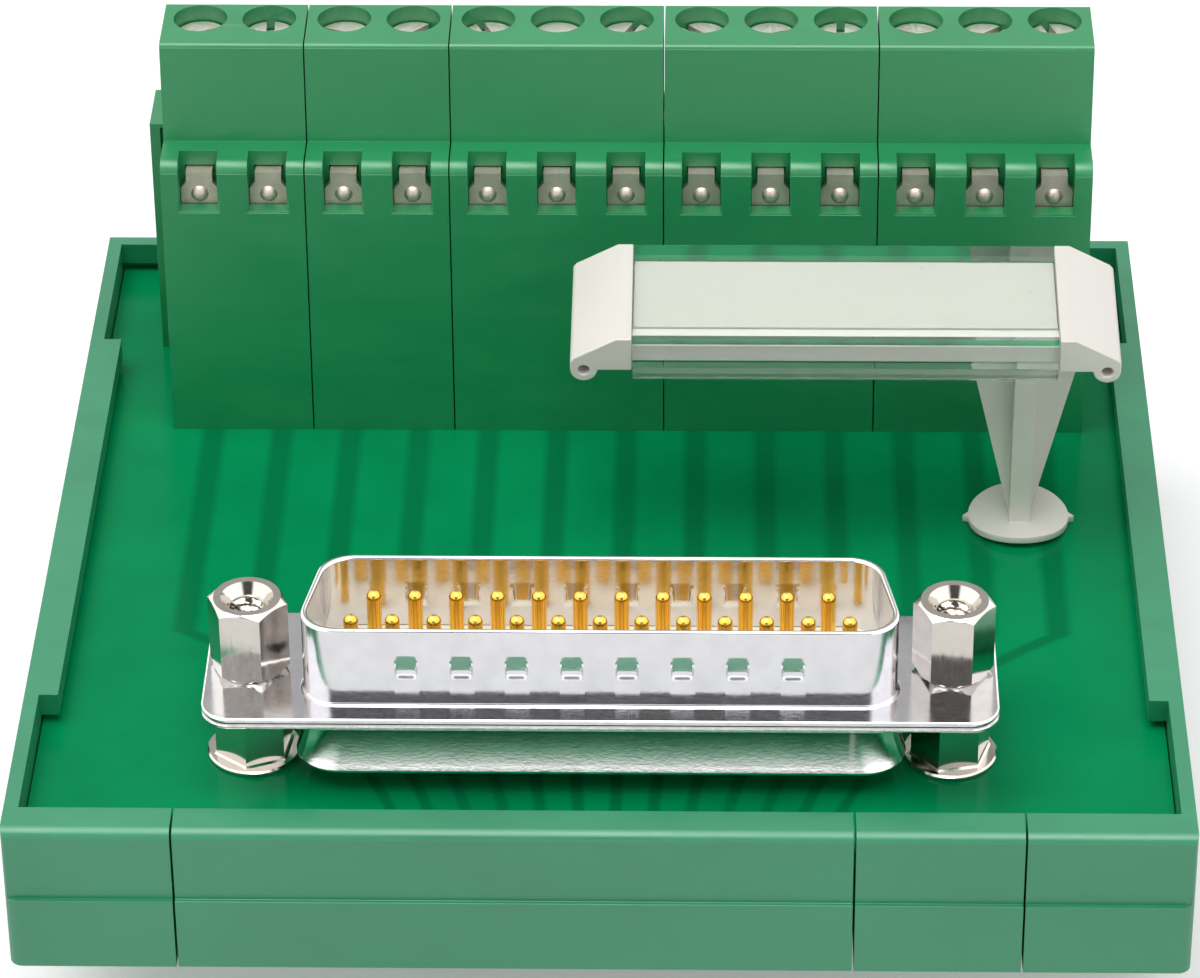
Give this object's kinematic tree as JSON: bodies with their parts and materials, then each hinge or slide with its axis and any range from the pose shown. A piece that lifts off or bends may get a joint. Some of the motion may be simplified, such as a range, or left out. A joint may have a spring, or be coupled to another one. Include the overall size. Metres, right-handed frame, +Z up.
{
  "type": "d-sub terminal block adapter",
  "caption": "Rail-mounted interface module: a multi-pole plug connector wired through a circuit board to a row of double-level screw terminal blocks, with a label holder.",
  "frame": {"origin": "on the surface under the rail feet, below the middle of the carrier", "axes": "+X along the module's width, rightwards seen from the plug side; +Y from the plug connector to the terminal blocks; +Z up, away from the rail"},
  "size_m": [0.0788, 0.0772, 0.0492],
  "materials": {
    "carrier_green": "satin moulded",
    "terminal_green": "satin moulded",
    "solder_mask": "glossy solder mask",
    "clamp_steel": "plated",
    "contact_tin": "tin plated, dull",
    "screw_steel": "zinc plated",
    "shell_plating": "bright tin plated",
    "insulator_cream": "moulded",
    "pin_gold": "gold plated",
    "hex_nickel": "nickel plated",
    "marker_white": "satin moulded",
    "label_paper": "matt paper",
    "clear_cover": "clear plastic"
  },
  "bodies": {
    "module": {"side_element_left": "carrier_green", "base_element_wide": "carrier_green", "base_element_narrow": "carrier_green", "side_element_right": "carrier_green", "rail_foot_left": "carrier_green", "rail_foot_right": "carrier_green", "circuit_board": "solder_mask", "terminal_housing_1": "terminal_green", "terminal_housing_2": "terminal_green", "terminal_housing_3": "terminal_green", "terminal_housing_4": "terminal_green", "terminal_housing_5": "terminal_green", "wire_clamps_1": "clamp_steel", "wire_clamps_2": "clamp_steel", "wire_clamps_3": "clamp_steel", "wire_clamps_4": "clamp_steel", "wire_clamps_5": "clamp_steel", "upper_contacts": "contact_tin", "lower_contacts": "contact_tin", "plug_front_shell": "shell_plating", "plug_rear_shell": "shell_plating", "plug_insulator": "insulator_cream", "plug_pins": "pin_gold", "jackscrews": "hex_nickel", "plug_spacers": "hex_nickel", "board_screws": "hex_nickel", "marker_stand": "marker_white", "marker_carrier": "marker_white", "marker_label": "label_paper", "marker_cover": "clear_cover"},
    "upper_screw_1": {"upper_screw_1": "screw_steel"},
    "upper_screw_2": {"upper_screw_2": "screw_steel"},
    "upper_screw_3": {"upper_screw_3": "screw_steel"},
    "upper_screw_4": {"upper_screw_4": "screw_steel"},
    "upper_screw_5": {"upper_screw_5": "screw_steel"},
    "upper_screw_6": {"upper_screw_6": "screw_steel"},
    "upper_screw_7": {"upper_screw_7": "screw_steel"},
    "upper_screw_8": {"upper_screw_8": "screw_steel"},
    "upper_screw_9": {"upper_screw_9": "screw_steel"},
    "upper_screw_10": {"upper_screw_10": "screw_steel"},
    "upper_screw_11": {"upper_screw_11": "screw_steel"},
    "upper_screw_12": {"upper_screw_12": "screw_steel"},
    "upper_screw_13": {"upper_screw_13": "screw_steel"},
    "lower_screw_1": {"lower_screw_1": "screw_steel"},
    "lower_screw_2": {"lower_screw_2": "screw_steel"},
    "lower_screw_3": {"lower_screw_3": "screw_steel"},
    "lower_screw_4": {"lower_screw_4": "screw_steel"},
    "lower_screw_5": {"lower_screw_5": "screw_steel"},
    "lower_screw_6": {"lower_screw_6": "screw_steel"},
    "lower_screw_7": {"lower_screw_7": "screw_steel"},
    "lower_screw_8": {"lower_screw_8": "screw_steel"},
    "lower_screw_9": {"lower_screw_9": "screw_steel"},
    "lower_screw_10": {"lower_screw_10": "screw_steel"},
    "lower_screw_11": {"lower_screw_11": "screw_steel"},
    "lower_screw_12": {"lower_screw_12": "screw_steel"},
    "lower_screw_13": {"lower_screw_13": "screw_steel"}
  },
  "joints": [
    {"name": "upper_screw_1_turn", "type": "hinge", "parent": "module", "child": "upper_screw_1", "pos_m": [-0.02982, 0.0232, 0.0456], "axis": [0, 0, 1], "range_deg": [-1580, 0]},
    {"name": "upper_screw_2_turn", "type": "hinge", "parent": "module", "child": "upper_screw_2", "pos_m": [-0.02482, 0.0232, 0.0456], "axis": [0, 0, 1], "range_deg": [-1580, 0]},
    {"name": "upper_screw_3_turn", "type": "hinge", "parent": "module", "child": "upper_screw_3", "pos_m": [-0.01938, 0.0232, 0.0456], "axis": [0, 0, 1], "range_deg": [-1580, 0]},
    {"name": "upper_screw_4_turn", "type": "hinge", "parent": "module", "child": "upper_screw_4", "pos_m": [-0.01438, 0.0232, 0.0456], "axis": [0, 0, 1], "range_deg": [-1580, 0]},
    {"name": "upper_screw_5_turn", "type": "hinge", "parent": "module", "child": "upper_screw_5", "pos_m": [-0.00894, 0.0232, 0.0456], "axis": [0, 0, 1], "range_deg": [-1580, 0]},
    {"name": "upper_screw_6_turn", "type": "hinge", "parent": "module", "child": "upper_screw_6", "pos_m": [-0.00394, 0.0232, 0.0456], "axis": [0, 0, 1], "range_deg": [-1580, 0]},
    {"name": "upper_screw_7_turn", "type": "hinge", "parent": "module", "child": "upper_screw_7", "pos_m": [0.00106, 0.0232, 0.0456], "axis": [0, 0, 1], "range_deg": [-1580, 0]},
    {"name": "upper_screw_8_turn", "type": "hinge", "parent": "module", "child": "upper_screw_8", "pos_m": [0.0065, 0.0232, 0.0456], "axis": [0, 0, 1], "range_deg": [-1580, 0]},
    {"name": "upper_screw_9_turn", "type": "hinge", "parent": "module", "child": "upper_screw_9", "pos_m": [0.0115, 0.0232, 0.0456], "axis": [0, 0, 1], "range_deg": [-1580, 0]},
    {"name": "upper_screw_10_turn", "type": "hinge", "parent": "module", "child": "upper_screw_10", "pos_m": [0.0165, 0.0232, 0.0456], "axis": [0, 0, 1], "range_deg": [-1580, 0]},
    {"name": "upper_screw_11_turn", "type": "hinge", "parent": "module", "child": "upper_screw_11", "pos_m": [0.02194, 0.0232, 0.0456], "axis": [0, 0, 1], "range_deg": [-1580, 0]},
    {"name": "upper_screw_12_turn", "type": "hinge", "parent": "module", "child": "upper_screw_12", "pos_m": [0.02694, 0.0232, 0.0456], "axis": [0, 0, 1], "range_deg": [-1580, 0]},
    {"name": "upper_screw_13_turn", "type": "hinge", "parent": "module", "child": "upper_screw_13", "pos_m": [0.03194, 0.0232, 0.0456], "axis": [0, 0, 1], "range_deg": [-1580, 0]},
    {"name": "lower_screw_1_turn", "type": "hinge", "parent": "module", "child": "lower_screw_1", "pos_m": [-0.03162, 0.02855, 0.0346], "axis": [0, 0, 1], "range_deg": [-1580, 0]},
    {"name": "lower_screw_2_turn", "type": "hinge", "parent": "module", "child": "lower_screw_2", "pos_m": [-0.02662, 0.02855, 0.0346], "axis": [0, 0, 1], "range_deg": [-1580, 0]},
    {"name": "lower_screw_3_turn", "type": "hinge", "parent": "module", "child": "lower_screw_3", "pos_m": [-0.02118, 0.02855, 0.0346], "axis": [0, 0, 1], "range_deg": [-1580, 0]},
    {"name": "lower_screw_4_turn", "type": "hinge", "parent": "module", "child": "lower_screw_4", "pos_m": [-0.01618, 0.02855, 0.0346], "axis": [0, 0, 1], "range_deg": [-1580, 0]},
    {"name": "lower_screw_5_turn", "type": "hinge", "parent": "module", "child": "lower_screw_5", "pos_m": [-0.01074, 0.02855, 0.0346], "axis": [0, 0, 1], "range_deg": [-1580, 0]},
    {"name": "lower_screw_6_turn", "type": "hinge", "parent": "module", "child": "lower_screw_6", "pos_m": [-0.00574, 0.02855, 0.0346], "axis": [0, 0, 1], "range_deg": [-1580, 0]},
    {"name": "lower_screw_7_turn", "type": "hinge", "parent": "module", "child": "lower_screw_7", "pos_m": [-0.00074, 0.02855, 0.0346], "axis": [0, 0, 1], "range_deg": [-1580, 0]},
    {"name": "lower_screw_8_turn", "type": "hinge", "parent": "module", "child": "lower_screw_8", "pos_m": [0.0047, 0.02855, 0.0346], "axis": [0, 0, 1], "range_deg": [-1580, 0]},
    {"name": "lower_screw_9_turn", "type": "hinge", "parent": "module", "child": "lower_screw_9", "pos_m": [0.0097, 0.02855, 0.0346], "axis": [0, 0, 1], "range_deg": [-1580, 0]},
    {"name": "lower_screw_10_turn", "type": "hinge", "parent": "module", "child": "lower_screw_10", "pos_m": [0.0147, 0.02855, 0.0346], "axis": [0, 0, 1], "range_deg": [-1580, 0]},
    {"name": "lower_screw_11_turn", "type": "hinge", "parent": "module", "child": "lower_screw_11", "pos_m": [0.02014, 0.02855, 0.0346], "axis": [0, 0, 1], "range_deg": [-1580, 0]},
    {"name": "lower_screw_12_turn", "type": "hinge", "parent": "module", "child": "lower_screw_12", "pos_m": [0.02514, 0.02855, 0.0346], "axis": [0, 0, 1], "range_deg": [-1580, 0]},
    {"name": "lower_screw_13_turn", "type": "hinge", "parent": "module", "child": "lower_screw_13", "pos_m": [0.03014, 0.02855, 0.0346], "axis": [0, 0, 1], "range_deg": [-1580, 0]}
  ]
}
